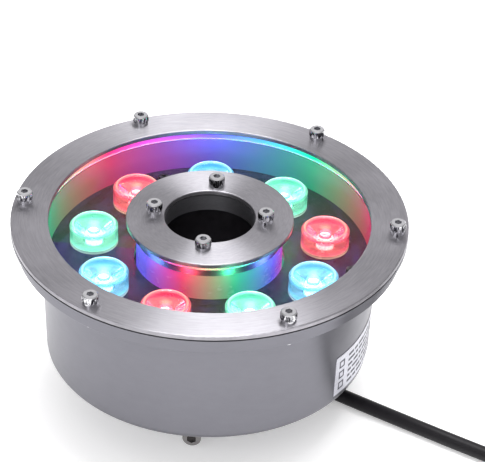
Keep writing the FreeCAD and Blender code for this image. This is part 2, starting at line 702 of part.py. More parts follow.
def make_internal_leads():
    """The cable's end inside the housing and the four cores, up to the LED board's underside."""
    x = number("gland_circle * cos(gland_at)")
    y = number("gland_circle * sin(gland_at)")
    top = number("collar_height + stub_above")
    solids = [Part.makeCylinder(number("cable_radius"), top - number(GLAND_LOW),
                                Vector(x, y, number(GLAND_LOW)))]
    radius, step = number("lead_radius"), number("lead_shift")
    side, spread = radius * 1.4, 3
    for side_x, side_y in ((-side, -side), (side, -side), (-side, side), (side, side)):
        core_x, core_y = x + side_x, y + side_y
        end_x, end_y = core_x + step, core_y * spread
        route = [(core_x, core_y, top), (core_x, core_y, top + number("lead_straight")),
                 (end_x, end_y, top + number("lead_bend")), (end_x, end_y, number(PLATE_LOW))]
        solids.append(tube_along(route, radius)[0])
    leads = doc.addObject("Part::Feature", "internal_leads")
    leads.Shape = Part.Compound(solids)
    keep(leads, "internal_leads")


# ---- Cable entry ---------------------------------------------------------------------------

def make_gland():
    """Body through the housing bottom, locknut inside, seal round the cable and dome cap."""
    hex_low = "collar_height - gland_hex_tall"
    neck_low, thread_top, ledge = f"{hex_low} - 4.5", "collar_height + gland_up", "collar_height + 1"
    body = new_body("gland_body")
    revolve(body, "sleeve", [
        ("gland_wall", neck_low), ("gland_neck", neck_low), ("gland_neck", hex_low),
        ("gland_thread", hex_low), ("gland_thread", thread_top), ("cable_radius + 0.2", thread_top),
        ("cable_radius + 0.2", ledge), ("gland_wall", ledge)])
    doc.recompute()
    sketch = new_sketch(body, "hexagon_outline", "XY_Plane", hex_low)
    draw_hexagon(sketch, 0, "gland_hex")
    draw_circle(sketch, 0, 0, "gland_wall")
    pad(body, "hexagon", sketch, "gland_hex_tall")

    nut = new_body("gland_locknut")
    sketch = new_sketch(nut, "hexagon_outline", "XY_Plane", "collar_height + sheet")
    draw_hexagon(sketch, 0, "gland_hex")
    draw_circle(sketch, 0, 0, "gland_thread")
    pad(nut, "hexagon", sketch, "locknut_tall")

    cap_floor, throat = f"{GLAND_LOW} + 1.6", "cable_radius + 0.15"
    seal = band("gland_seal", "cable_radius", "gland_wall", cap_floor, "collar_height - 0.5")

    cap = new_body("gland_cap")
    revolve(cap, "dome", [
        (throat, GLAND_LOW), ("gland_cap_radius - 2.2", GLAND_LOW),
        ("gland_cap_radius - 0.5", f"{GLAND_LOW} + 1.3"), ("gland_cap_radius", f"{GLAND_LOW} + 3"),
        ("gland_cap_radius", hex_low), ("gland_neck", hex_low), ("gland_neck", cap_floor),
        (throat, cap_floor)])
    for piece in (body, nut, seal, cap):
        stand_at(piece, "gland_circle", "gland_at")


# ---- Cable, coil and connector -------------------------------------------------------------

def make_cable_runs():
    """The cable's two stretches outside the coil that holds its unused length."""
    for label, route in (("supply_cable", CABLE_ROUTE), ("cable_tail", CABLE_TAIL)):
        solid, length, radii, ratio = tube_along(route, number("cable_radius"))
        print("%s: length %.1f, volume over section times length %.4f" % (label, length, ratio))
        print("  bend radii", " ".join("%.1f" % radius for radius in radii))
        cable = doc.addObject("Part::Feature", label)
        cable.Shape = solid
        keep(cable, label)


def coil_section():
    """The coil's section: inner and outer radius, lowest and highest point, as expressions."""
    half = "coil_across * cable_radius"
    return (f"coil_middle - {half}", f"coil_middle + {half}",
            "coil_lift", "coil_lift + coil_layers * 2 * cable_radius")


def move_to_coil(thing):
    bind(thing, "Placement.Base.x", "coil_x")
    bind(thing, "Placement.Base.y", "coil_y")


def make_coil():
    """The outer shape of the wound cable, and two ties round it that it rests on."""
    inner, outer, low, high = coil_section()
    coil = band("cable_coil", inner, outer, low, high)
    round_edges(coil, "coil_edge", "coil_round", lambda radius, z: True)
    move_to_coil(coil)

    ties = new_body("coil_ties", many=True)
    sketch = new_sketch(ties, "strap_outline", "XZ_Plane")
    for spare in ("tie_gap", "(tie_gap + tie_thick)"):
        draw_outline(sketch, [
            (f"{inner} - {spare}", f"{low} - {spare}"), (f"{outer} + {spare}", f"{low} - {spare}"),
            (f"{outer} + {spare}", f"{high} + {spare}"), (f"{inner} - {spare}", f"{high} + {spare}")])
    strap = pad(ties, "strap", sketch, "tie_wide", midplane=True)
    polar(ties, "straps", [strap], 2)
    turn_about_axis(ties, "tie_first")
    move_to_coil(ties)


def make_connector():
    """Moulded round connector on the cable's far end: bend relief, ribbed grip, nose and pins."""
    body = new_body("connector_body")
    boot_top, grip_top = "plug_boot", "plug_boot + plug_grip"
    nose_top, pin_top = f"{grip_top} + plug_nose", f"{grip_top} + plug_nose - 1.2"
    socket_floor = f"{nose_top} - 7"
    corners = [(0, 0), ("cable_radius + 0.8", 0), ("plug_radius - 1.6", boot_top),
               ("plug_radius", f"{boot_top} + 1.5")]
    for rib in range(4):
        start = f"{boot_top} + 5 + {rib * 4}"
        corners += [("plug_radius", start), ("plug_radius - 0.5", f"{start} + 0.5"),
                    ("plug_radius - 0.5", f"{start} + 1.5"), ("plug_radius", f"{start} + 2")]
    corners += [("plug_radius", f"{grip_top} - 1"), ("plug_radius - 0.6", grip_top),
                ("plug_nose_radius", grip_top), ("plug_nose_radius", nose_top),
                ("plug_nose_radius - 1.1", nose_top), ("plug_nose_radius - 1.1", socket_floor),
                (0, socket_floor)]
    revolve(body, "moulding", corners)

    pins = new_body("connector_pins", many=True)
    pin = revolve(pins, "pin", [
        (0, socket_floor), ("pin_radius", socket_floor), ("pin_radius", f"{pin_top} - 0.6"),
        ("pin_radius * 0.5", pin_top), (0, pin_top)], "pin_circle")
    polar(pins, "pins", [pin], 4)

    before, end = Vector(*CABLE_TAIL[-2]), Vector(*CABLE_TAIL[-1])
    for piece in (body, pins):
        piece.Placement = Placement(end, Rotation(Vector(0, 0, 1), end - before))


def make_rating_label():
    """Thin foil label on the wall, following its slight taper."""
    body = new_body("rating_label")
    slope = f"(wall_high - wall_low) / ({RIM_LOW} - collar_height)"
    low, high = f"{RING_TOP} - label_low", f"{RING_TOP} - label_high"
    at_low = f"wall_low + ({low} - collar_height) * {slope}"
    at_high = f"wall_low + ({high} - collar_height) * {slope}"
    revolve(body, "foil", [
        (at_low, low), (f"{at_low} + label_thick", low), (f"{at_high} + label_thick", high),
        (at_high, high)], angle="label_span")
    turn_about_axis(body, "label_first")


# ---- Build, check and write ----------------------------------------------------------------

def check_and_export():
    """Stop on any failed object or bad solid, then write one file for each sub-part."""
    doc.recompute()
    for thing in doc.Objects:
        if "Invalid" in thing.State or "Error" in thing.State:
            raise RuntimeError(f"{thing.Label} failed: {thing.State}")
    os.makedirs("parts", exist_ok=True)
    for part in parts:
        shape = part.Shape
        if shape.isNull() or not shape.isValid() or shape.Volume <= 0:
            raise RuntimeError(f"{part.Label} has no valid shape")
        shape.exportStep(f"parts/{part.Label}.step")
    print(f"{len(parts)} sub-parts written")


def main():
    fill_sheet()
    make_housing_cup()
    band("centre_tube", "tube_radius - sheet", "tube_radius", BOTTOM, HUB_LOW)
    make_hub_ring()
    make_clamp_collar()
    make_clamp_screws()
    make_press_rings()
    make_window_glass()
    make_gaskets()
    screw_set("outer_screws", "outer_circle", WASHER_TOP, "screw", "outer_long", "outer_count")
    screw_set("inner_screws", "inner_circle", WASHER_TOP, "screw", "inner_long", "inner_count")
    make_lock_washers()
    make_light_plates()
    make_board_brackets()
    screw_set("board_screws", "bracket_circle", BOARD_TOP, "small", "small_long", "bracket_count",
              "bracket_first")
    make_lenses()
    make_emitters()
    make_driver()
    make_internal_leads()
    make_gland()
    make_rating_label()
    make_cable_runs()
    make_coil()
    make_connector()
    check_and_export()


main()
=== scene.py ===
"""Looks of the underwater pond light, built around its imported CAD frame.

Frame: +Z up, metres. The lamp's axis is at the origin and the clamp collar stands on z = 0.
Shapes that belong to the design are written in millimetres and scaled by MM.
"""
import json
import math

import bmesh
import bpy
from mathutils import Matrix, Vector


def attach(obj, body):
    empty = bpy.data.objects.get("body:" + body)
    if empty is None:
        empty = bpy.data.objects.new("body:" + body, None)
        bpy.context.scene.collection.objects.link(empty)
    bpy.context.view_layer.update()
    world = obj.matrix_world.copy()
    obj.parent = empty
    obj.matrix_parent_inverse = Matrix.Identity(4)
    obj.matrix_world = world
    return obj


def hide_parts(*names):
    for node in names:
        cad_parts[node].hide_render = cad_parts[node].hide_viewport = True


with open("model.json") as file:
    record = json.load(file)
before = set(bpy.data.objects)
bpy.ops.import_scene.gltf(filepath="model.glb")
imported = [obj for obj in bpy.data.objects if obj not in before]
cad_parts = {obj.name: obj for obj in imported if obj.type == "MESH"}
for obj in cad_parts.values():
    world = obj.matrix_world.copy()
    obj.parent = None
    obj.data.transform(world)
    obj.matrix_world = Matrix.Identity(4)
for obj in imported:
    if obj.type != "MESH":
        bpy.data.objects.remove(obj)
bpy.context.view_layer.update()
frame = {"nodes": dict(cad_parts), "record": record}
scene = bpy.context.scene
MM = 0.001


def in_metres(points):
    return [Vector(point) * MM for point in points]


# ---- Camera --------------------------------------------------------------------------------

RING_TOP = 94.0  # mm, the press rings' top face
CAMERA_DISTANCE = 1000.0  # mm, from the centre of the ring's top face
CAMERA_ELEVATION = math.radians(34.2)
CAMERA_AROUND = math.radians(6.25)
CAMERA_ROLL = math.radians(1.25)
CAMERA_LENS = 164.1  # mm, on a sensor 36 mm wide
AIM_RIGHT, AIM_DOWN = 0.0147, 0.0068  # how far the view's centre is from the ring's centre


def add_camera():
    right = Vector((math.cos(CAMERA_AROUND), math.sin(CAMERA_AROUND), 0))
    flat = math.cos(CAMERA_ELEVATION)
    back = Vector((math.sin(CAMERA_AROUND) * flat, -math.cos(CAMERA_AROUND) * flat,
                   math.sin(CAMERA_ELEVATION)))
    up = back.cross(right)
    right, up = (right * math.cos(CAMERA_ROLL) + up * math.sin(CAMERA_ROLL),
                 up * math.cos(CAMERA_ROLL) - right * math.sin(CAMERA_ROLL))
    place = (Vector((0, 0, RING_TOP)) + back * CAMERA_DISTANCE) * MM
    back = (back - right * AIM_RIGHT + up * AIM_DOWN).normalized()
    right = up.cross(back).normalized()
    up = back.cross(right)
    data = bpy.data.cameras.new("camera")
    data.lens = CAMERA_LENS
    data.clip_start, data.clip_end = 0.01, 100
    camera = bpy.data.objects.new("camera", data)
    heading = Matrix((right, up, back)).transposed().to_4x4()
    camera.matrix_world = Matrix.Translation(place) @ heading
    scene.collection.objects.link(camera)
    scene.camera = camera


add_camera()


# ---- Cord: from the gland, along the floor, wound into a coil, to its connector --------------

CABLE_EXIT = (48.49, 0.85, 15.0)
CABLE_ROUTE = (
    CABLE_EXIT,
    (48.49, 0.85, 8.4),
    (52.9, -1.3, 3.4),
    (63.5, -6.8, 3.4),
    (84.9, -17.6, 3.4),
    (126.2, -37.8, 3.5),
)
CABLE_TAIL = (
    (224.9, -35.0, 11.0),
    (229.5, -18.6, 11.0),
    (229.1, -1.1, 10.8),
    (224.1, 15.5, 8.9),
    (214.2, 29.0, 6.5),
    (200.4, 38.0, 6.5),
)
CABLE_DIAMETER = 6.8
COIL_CENTRE = (184.8, -16.3)
COIL_TURNS = ((44.3, 4.2), (37.5, 4.2), (30.7, 4.2), (30.7, 11.0), (37.5, 11.0), (44.3, 11.0))
COIL_START = -115  # degrees, where the cable joins the coil
COIL_TRAVEL = 5 * 360 + 90  # degrees, the coil's whole turning
COIL_STEP = 15
COIL_SHIFT = 50  # degrees at a turn's end in which the cable moves over to the next turn
COIL_SWING = 2.7  # mm inwards while it climbs to the upper layer


def smooth(share):
    share = min(1.0, max(0.0, share))
    return share * share * (3 - 2 * share)


def coil_points():
    """Control points of the wound cable; they lie a little outside the circle that it follows."""
    spread = 1 / (0.75 + 0.25 * math.cos(math.radians(COIL_STEP)))
    points = []
    for travelled in range(0, COIL_TRAVEL, COIL_STEP):
        turn, within = divmod(travelled, 360)
        share = smooth((within - 360 + COIL_SHIFT) / COIL_SHIFT)
        (radius, height), (next_radius, next_height) = COIL_TURNS[turn:turn + 2] if turn < 5 \
            else (COIL_TURNS[turn], COIL_TURNS[turn])
        if next_height > height:
            radius -= COIL_SWING * math.sin(math.pi * share)
        radius = (radius + (next_radius - radius) * share) * spread
        height += (next_height - height) * share
        angle = math.radians(COIL_START + travelled)
        points.append((COIL_CENTRE[0] + radius * math.cos(angle),
                       COIL_CENTRE[1] + radius * math.sin(angle), height))
    return points


def curve_piece(name, points, radius, body="lamp"):
    """A round tube; its radius is held by the points, so the curve's own box is right too."""
    data = bpy.data.curves.new(name, "CURVE")
    data.dimensions = "3D"
    data.bevel_depth = 1.0
    data.bevel_resolution = 5
    data.resolution_u = 5
    data.use_fill_caps = True
    spline = data.splines.new("NURBS")
    spline.points.add(len(points) - 1)
    for point, place in zip(spline.points, points):
        point.co, point.radius = (*place, 1), radius
    spline.order_u = 3
    spline.use_endpoint_u = True
    piece = bpy.data.objects.new(name, data)
    scene.collection.objects.link(piece)
    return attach(piece, body)


cable = curve_piece("cable", in_metres([*CABLE_ROUTE, *coil_points(), *CABLE_TAIL]),
                    CABLE_DIAMETER / 2 * MM)


# ---- Mesh helpers ----------------------------------------------------------------------------

def mesh_piece(name, vertices, faces, body="lamp", smooth_angle=35):
    """A piece from vertices in millimetres."""
    mesh = bpy.data.meshes.new(name)
    mesh.from_pydata(in_metres(vertices), [], faces)
    work = bmesh.new()
    work.from_mesh(mesh)
    bmesh.ops.recalc_face_normals(work, faces=work.faces)
    work.to_mesh(mesh)
    work.free()
    mesh.shade_smooth()
    mesh.set_sharp_from_angle(angle=math.radians(smooth_angle))
    piece = bpy.data.objects.new(name, mesh)
    scene.collection.objects.link(piece)
    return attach(piece, body)


def lofted(rings, closed=False):
    """Vertices and faces of a skin through rings of equal numbers of points."""
    count = len(rings[0])
    vertices = [point for ring in rings for point in ring]
    faces = []
    for level in range(len(rings) if closed else len(rings) - 1):
        low, high = level * count, (level + 1) % len(rings) * count
        faces += [(low + i, low + (i + 1) % count, high + (i + 1) % count, high + i)
                  for i in range(count)]
    if not closed:
        faces += [tuple(range(count))[::-1],
                  tuple(range((len(rings) - 1) * count, len(rings) * count))]
    return vertices, faces


def joined(shapes):
    """One list of vertices and faces from several."""
    vertices, faces = [], []
    for shape_vertices, shape_faces in shapes:
        start = len(vertices)
        vertices += shape_vertices
        faces += [tuple(start + i for i in face) for face in shape_faces]
    return vertices, faces


# ---- The cable's sleeve at the gland ---------------------------------------------------------

SLEEVE_LONG = 22.0
SLEEVE_RADIUS = 4.7
SLEEVE_END = 3.55
SLEEVE_RINGS = 34
SLEEVE_SIDES = 28


def along_route(distance):
    """Place and heading on the cable's own line, at a distance in mm from its exit."""
    def knot(index):
        return Vector(CABLE_ROUTE[index])
    spans = [(knot(0), knot(1), (knot(1) + knot(2)) / 2)]
    for index in range(2, 4):
        spans.append(((knot(index - 1) + knot(index)) / 2, knot(index),
                      (knot(index) + knot(index + 1)) / 2))
    walked, last = 0.0, knot(0)
    steps = 60
    for start, middle, end in spans:
        for step in range(1, steps + 1):
            t = step / steps
            point = start * (1 - t) ** 2 + middle * 2 * t * (1 - t) + end * t * t
            walked += (point - last).length
            heading = (middle - start) * (1 - t) + (end - middle) * t
            if walked >= distance:
                return point, heading.normalized()
            last = point
    return last, heading.normalized()


def add_sleeve():
    rings = []
    for level in range(SLEEVE_RINGS + 1):
        share = level / SLEEVE_RINGS
        centre, heading = along_route(share * SLEEVE_LONG)
        side = heading.cross(Vector((0, 1, 0))).normalized()
        other = heading.cross(side)
        radius = SLEEVE_RADIUS + (SLEEVE_END - SLEEVE_RADIUS) * smooth(share)
        if level % 4 in (2, 3) and level < SLEEVE_RINGS - 4:
            radius -= 0.35
        ring = []
        for i in range(SLEEVE_SIDES):
            turn = 2 * math.pi * i / SLEEVE_SIDES
            point = centre + side * (radius * math.cos(turn)) + other * (radius * math.sin(turn))
            point.z = max(point.z, 0.02)
            ring.append(point)
        rings.append(ring)
    return mesh_piece("cable_sleeve", *lofted(rings), smooth_angle=60)


sleeve = add_sleeve()

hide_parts("supply_cable", "cable_coil", "cable_tail")


# ---- Knurled screw heads ---------------------------------------------------------------------

KNURLS = 30
KNURL_SMALL, KNURL_LARGE = 3.48, 3.68  # radius in the grooves and on the ridges
KNURL_START, KNURL_END = 0.35, 3.4  # height of the band above the head's underside
KNURL_BEVEL = 0.35
WASHER_THICK = 1.2
SCREW_CIRCLES = ((6, 84.9), (4, 25.4))  # number and pitch radius, outer and inner screws


def knurled_band(centre, low, high, small, large, teeth):
    """A band of upright ridges round a screw head, with bevelled ends."""
    rings = []
    for height, ridge in ((low, small), (low + KNURL_BEVEL, large), (high - KNURL_BEVEL, large),
                          (high, small)):
        ring = []
        for i in range(teeth * 2):
            radius = ridge if i % 2 else small
            turn = math.pi * i / teeth
            ring.append((centre[0] + radius * math.cos(turn), centre[1] + radius * math.sin(turn),
                         height))
        rings.append(ring)
    inner = [[(centre[0] + (x - centre[0]) * 0.9, centre[1] + (y - centre[1]) * 0.9, z)
              for x, y, z in ring] for ring in (rings[-1], rings[0])]
    return lofted([*rings, *inner], closed=True)


def add_knurls():
    head_low = RING_TOP + WASHER_THICK
    bands = []
    for count, circle in SCREW_CIRCLES:
        for i in range(count):
            turn = 2 * math.pi * i / count
            centre = (circle * math.cos(turn), circle * math.sin(turn))
            bands.append(knurled_band(centre, head_low + KNURL_START, head_low + KNURL_END,
                                      KNURL_SMALL, KNURL_LARGE, KNURLS))
    return mesh_piece("screw_knurls", *joined(bands), smooth_angle=20)


knurls = add_knurls()


# ---- Printed marks on the rating label: plain bars, no lettering ------------------------------

WALL_LOW, WALL_HIGH = 75.0, 76.6  # wall radius at the housing's bottom and under its rim
BODY_LOW, RIM_LOW = 25.0, 83.5
WALL_LEAN = (WALL_HIGH - WALL_LOW) / (RIM_LOW - BODY_LOW)
FOIL_THICK = 0.2


def wall_point(angle, height, lift=0.0):
    """A point on the label's outer face, in mm."""
    radius = WALL_LOW + FOIL_THICK + WALL_LEAN * (height - BODY_LOW) + lift
    turn = math.radians(angle)
    return (radius * math.cos(turn), radius * math.sin(turn), height)


def bar(first, last, low, high, lift=0.06):
    """A thin raised bar on the label between two angles and two heights."""
    steps = max(2, int((last - first) / 1.5) + 1)
    rings = []
    for i in range(steps + 1):
        angle = first + (last - first) * i / steps
        rings.append([wall_point(angle, low, -0.05), wall_point(angle, low, lift),
                      wall_point(angle, high, lift), wall_point(angle, high, -0.05)])
    return lofted(rings)


def frame_bars(first, last, low, high, wide):
    """A rectangle's outline as four bars; wide is in mm."""
    turn = math.degrees(wide / WALL_HIGH)
    return [bar(first, last, low, low + wide), bar(first, last, high - wide, high),
            bar(first, first + turn, low + wide, high - wide),
            bar(last - turn, last, low + wide, high - wide)]


# Angles are in degrees round the lamp's axis, heights in mm.
BOXES, BOX_LOW, BOX_STEP, BOX_TALL, BOX_LINE = 3, 32.4, 6.0, 4.0, 0.7
BOX_FIRST, BOX_LAST = -32.0, -29.0
ROWS, ROW_LOW, ROW_STEP, ROW_TALL = 6, 32.2, 3.05, 1.25
ROW_FIRST, ROW_LAST = -26.4, 6.0
DASHES, DASH_GAP = 7, 0.9
DASH_LENGTHS = (3.4, 2.2, 4.6, 1.6, 3.0)


def add_label_print():
    """A column of small boxes, and rows of dashes that end at different angles."""
    shapes = []
    for row in range(BOXES):
        low = BOX_LOW + row * BOX_STEP
        shapes += frame_bars(BOX_FIRST, BOX_LAST, low, low + BOX_TALL, BOX_LINE)
    for row in range(ROWS):
        low = ROW_LOW + row * ROW_STEP
        angle = ROW_FIRST
        for dash in range(DASHES):
            long = DASH_LENGTHS[(row * 3 + dash) % len(DASH_LENGTHS)]
            if angle + long < ROW_LAST - (row * 7) % 9:
                shapes.append(bar(angle, angle + long, low, low + ROW_TALL))
            angle += long + DASH_GAP
    return mesh_piece("label_print", *joined(shapes))


label_print = add_label_print()


# ---- Material helpers --------------------------------------------------------------------------

def new_material(name, colour, **sockets):
    """A Principled material; sockets are constants, named with underscores for spaces."""
    material = bpy.data.materials.new(name)
    material.use_nodes = True
    tree = material.node_tree
    shader = tree.nodes["Principled BSDF"]
    shader.inputs["Base Color"].default_value = (*colour, 1)
    for key, value in sockets.items():
        shader.inputs[key.replace("_", " ")].default_value = value
    return material, tree, shader


def node(tree, kind, inputs=(), **settings):
    made = tree.nodes.new(kind)
    for key, value in settings.items():
        setattr(made, key, value)
    for key, value in dict(inputs).items():
        if isinstance(value, bpy.types.NodeSocket):
            tree.links.new(value, made.inputs[key])
        else:
            made.inputs[key].default_value = value
    return made


def place_of(tree):
    return node(tree, "ShaderNodeTexCoord").outputs["Object"]


def scaled(tree, stretch):
    """The place with each axis multiplied by its own number."""
    return node(tree, "ShaderNodeVectorMath", {0: place_of(tree), 1: stretch},
                operation="MULTIPLY").outputs[0]


def turned(tree, around, across, flat_face):
    """Coordinates for fine lines round the lamp's axis: on a flat face the lines are rings,
    and on a wall they are level. The numbers say how fast the pattern changes, per metre."""
    flat = scaled(tree, (1, 1, 0))
    unit = node(tree, "ShaderNodeVectorMath", {0: flat}, operation="NORMALIZE").outputs[0]
    unit = node(tree, "ShaderNodeVectorMath", {0: unit, "Scale": around},
                operation="SCALE").outputs[0]
    if flat_face:
        size = node(tree, "ShaderNodeVectorMath", {0: flat}, operation="LENGTH").outputs["Value"]
    else:
        size = node(tree, "ShaderNodeSeparateXYZ", {0: place_of(tree)}).outputs["Z"]
    size = node(tree, "ShaderNodeMath", {0: size, 1: across}, operation="MULTIPLY").outputs[0]
    step = node(tree, "ShaderNodeCombineXYZ", {"Z": size}).outputs[0]
    return node(tree, "ShaderNodeVectorMath", {0: unit, 1: step}, operation="ADD").outputs[0]


def noise(tree, vector, scale=1.0, detail=3.0, rough=0.55):
    return node(tree, "ShaderNodeTexNoise", {"Vector": vector, "Scale": scale, "Detail": detail,
                                             "Roughness": rough}).outputs["Fac"]


def spread(tree, value, low, high, from_low=0.3, from_high=0.7):
    """The value's range from from_low to from_high, stretched to low and high."""
    return node(tree, "ShaderNodeMapRange",
                {"Value": value, "From Min": from_low, "From Max": from_high,
                 "To Min": low, "To Max": high}).outputs[0]


def mixed(tree, factor, first, second, blend="MIX"):
    made = tree.nodes.new("ShaderNodeMix")
    made.data_type = "RGBA"
    made.blend_type = blend
    sockets = (made.inputs[0], made.inputs[6], made.inputs[7])
    for socket, value in zip(sockets, (factor, first, second)):
        if isinstance(value, bpy.types.NodeSocket):
            tree.links.new(value, socket)
        else:
            socket.default_value = value if isinstance(value, float) else (*value, 1)
    return made.outputs[2]


def ramp(tree, value, stops):
    made = tree.nodes.new("ShaderNodeValToRGB")
    elements = made.color_ramp.elements
    while len(elements) < len(stops):
        elements.new(0.5)
    for element, (position, colour) in zip(elements, stops):
        element.position, element.color = position, (*colour, 1)
    tree.links.new(value, made.inputs[0])
    return made.outputs["Color"]


def bump(tree, shader, height, distance, strength=1.0):
    made = node(tree, "ShaderNodeBump", {"Height": height, "Distance": distance,
                                         "Strength": strength})
    tree.links.new(made.outputs[0], shader.inputs["Normal"])


def feed(tree, shader, socket, value):
    tree.links.new(value, shader.inputs[socket])


# ---- Materials ---------------------------------------------------------------------------------

# Per hue, the last colour is painted light: the glow that the LEDs' light leaves on nearby parts.
LED_COLOURS = {
    "red": {"light": (1.0, 0.02, 0.09), "core": (1.0, 0.66, 0.45), "lens": (0.92, 0.04, 0.13),
            "body": (1.0, 0.58, 0.64), "painted_glow": (0.80, 0.02, 0.11)},
    "green": {"light": (0.02, 1.0, 0.30), "core": (0.72, 1.0, 0.86), "lens": (0.12, 0.72, 0.46),
              "body": (0.68, 1.0, 0.88), "painted_glow": (0.0, 0.55, 0.24)},
    "blue": {"light": (0.12, 0.14, 1.0), "core": (0.68, 0.92, 1.0), "lens": (0.08, 0.50, 0.80),
             "body": (0.68, 0.90, 1.0), "painted_glow": (0.13, 0.09, 0.85)},
}
LED_ORDER = ("red", "green", "blue")
LED_COUNT, LED_CIRCLE, LED_FIRST, LED_STEP = 9, 54.0, 16.25, 40.0
LED_AFTER_BACK = 5  # the first LED counter-clockwise from the direction -X
HOLDER_BORE = 10.2  # the lens holders' inner radius, 0.1 mm outside the lens
HOLDER_LOW, HOLDER_HIGH = 71.5, 80.1


def brushed_steel(name, dark, light, flat_face, roughness=(0.3, 0.42), anisotropy=0.6,
                  line=1600.0, relief=0.00002):
    """Steel with fine lines round the lamp's axis and soft clouds."""
    material, tree, shader = new_material(name, light, Metallic=1.0, Anisotropic=anisotropy,
                                          Anisotropic_Rotation=0.25)
    lines = noise(tree, turned(tree, 9.0, line, flat_face), 1.0, 6.0, 0.7)
    clouds = noise(tree, scaled(tree, (1, 1, 1)), 28.0, 3.0)
    both = node(tree, "ShaderNodeMath", {0: lines, 1: clouds}, operation="ADD").outputs[0]
    factor = spread(tree, both, 0.0, 1.0, 0.75, 1.25)
    feed(tree, shader, "Base Color", mixed(tree, factor, dark, light))
    feed(tree, shader, "Roughness", spread(tree, lines, roughness[1], roughness[0]))
    bump(tree, shader, lines, relief)
    tangent = node(tree, "ShaderNodeTangent", direction_type="RADIAL", axis="Z")
    feed(tree, shader, "Tangent", tangent.outputs[0])
    return material


def polished_steel(name, colour, roughness=0.12):
    """Smooth steel with faint smudges."""
    material, tree, shader = new_material(name, colour, Metallic=1.0)
    smudges = noise(tree, scaled(tree, (1, 1, 1)), 420.0, 4.0)
    feed(tree, shader, "Roughness", spread(tree, smudges, roughness, roughness * 2.2))
    feed(tree, shader, "Base Color",
         mixed(tree, spread(tree, smudges, 0.0, 1.0), colour, tuple(x * 0.82 for x in colour)))
    bump(tree, shader, noise(tree, scaled(tree, (1, 1, 4)), 900.0, 2.0), 0.00001)
    return material


def grained(name, colour, roughness, size, relief, tone=0.75, metallic=0.0, **sockets):
    """A moulded, rubber or cast surface: fine grain in its height, tone and gloss."""
    material, tree, shader = new_material(name, colour, Metallic=metallic, **sockets)
    grain = noise(tree, scaled(tree, (1, 1, 1)), size, 5.0, 0.6)
    feed(tree, shader, "Roughness",
         spread(tree, grain, roughness * 0.85, min(1.0, roughness * 1.15)))
    feed(tree, shader, "Base Color",
         mixed(tree, spread(tree, grain, 0.0, 1.0), tuple(x * tone for x in colour), colour))
    bump(tree, shader, grain, relief)
    return material


def painted_led_glow(tree):
    """Painted LED light: the colour of the nearest LEDs' light at each direction from the axis,
    given to parts as a glow.
    """
    place = node(tree, "ShaderNodeSeparateXYZ", {0: place_of(tree)})
    turn = node(tree, "ShaderNodeMath", {0: place.outputs["Y"], 1: place.outputs["X"]},
                operation="ARCTAN2").outputs[0]
    share = spread(tree, turn, 0.0, 1.0, -math.pi, math.pi)
    start, stops = LED_FIRST + LED_STEP * LED_AFTER_BACK - 180, []
    for index in range(LED_COUNT):
        hue = LED_ORDER[(index + LED_AFTER_BACK) % len(LED_ORDER)]
        stops.append(((start + LED_STEP * index) / 360, LED_COLOURS[hue]["painted_glow"]))
    return ramp(tree, share, stops)


def steel_with_painted_led_glow(name, colour, strength, roughness):
    """Smooth steel inside the lamp, with the light of the LEDs beside it painted on as a glow."""
    material, tree, shader = new_material(name, colour, Metallic=0.5, Emission_Strength=strength)
    feed(tree, shader, "Emission Color", painted_led_glow(tree))
    clouds = noise(tree, turned(tree, 6.0, 300.0, False), 1.0, 2.0)
    feed(tree, shader, "Roughness", spread(tree, clouds, roughness, roughness * 1.3))
    feed(tree, shader, "Base Color",
         mixed(tree, spread(tree, clouds, 0.0, 1.0), tuple(x * 0.85 for x in colour), colour))
    bump(tree, shader, clouds, 0.00001)
    return material


def clear_silicone():
    """Translucent seal round the glass's edge, with the coloured light of the LEDs painted on it as
    a glow.
    """
    material, tree, shader = new_material("silicone", (0.8, 0.83, 0.85), Transmission_Weight=0.5,
                                          Emission_Strength=0.7)
    # Painted glow of the LEDs' light.
    feed(tree, shader, "Emission Color", painted_led_glow(tree))
    haze = noise(tree, scaled(tree, (1, 1, 1)), 300.0, 3.0)
    feed(tree, shader, "Roughness", spread(tree, haze, 0.3, 0.5))
    bump(tree, shader, haze, 0.00003)
    return material


def knurled_steel():
    """The screw heads' knurled bands: irregular upright grooves, coloured in streaks from near
    black to near white as painted reflections of the chrome.
    """
    material, tree, shader = new_material("knurled_steel", (0.5, 0.5, 0.52), Metallic=1.0)
    grooves_and_painted_streaks = noise(tree, scaled(tree, (1, 1, 0.35)), 900.0, 2.0)
    # The near-black and near-white streaks are painted reflections.
    feed(tree, shader, "Base Color",
         ramp(tree, grooves_and_painted_streaks, ((0.42, (0.015, 0.015, 0.02)), (0.5, (0.3, 0.3, 0.32)),
                           (0.58, (0.95, 0.95, 0.97)))))
    feed(tree, shader, "Roughness", spread(tree, grooves_and_painted_streaks, 0.3, 0.1))
    bump(tree, shader, grooves_and_painted_streaks, 0.0002)
    return material


def clear_glass():
    """The window: clear and faintly smeared, with a low index so that it mirrors little."""
    material, tree, shader = new_material("window_glass", (0.97, 1.0, 0.99), Roughness=0.0,
                                          IOR=1.12, Transmission_Weight=1.0)
    smears = noise(tree, scaled(tree, (1, 1, 1)), 35.0, 3.0)
    feed(tree, shader, "Roughness", spread(tree, smears, 0.0, 0.012, 0.45, 0.8))
    return material


def led_centre(index):
    turn = math.radians(LED_FIRST + LED_STEP * index)
    return LED_CIRCLE * math.cos(turn), LED_CIRCLE * math.sin(turn)


def from_lens_axis(tree, centre, reach):
    """Distance from a lens's own axis, 1 at the reach given in mm."""
    shifted = node(tree, "ShaderNodeVectorMath",
                   {0: place_of(tree), 1: (-centre[0] * MM, -centre[1] * MM, 0)},
                   operation="ADD").outputs[0]
    flat = node(tree, "ShaderNodeVectorMath", {0: shifted, 1: (1, 1, 0)},
                operation="MULTIPLY").outputs[0]
    size = node(tree, "ShaderNodeVectorMath", {0: flat}, operation="LENGTH").outputs["Value"]
    return node(tree, "ShaderNodeMath", {0: size, 1: reach * MM}, operation="DIVIDE").outputs[0]


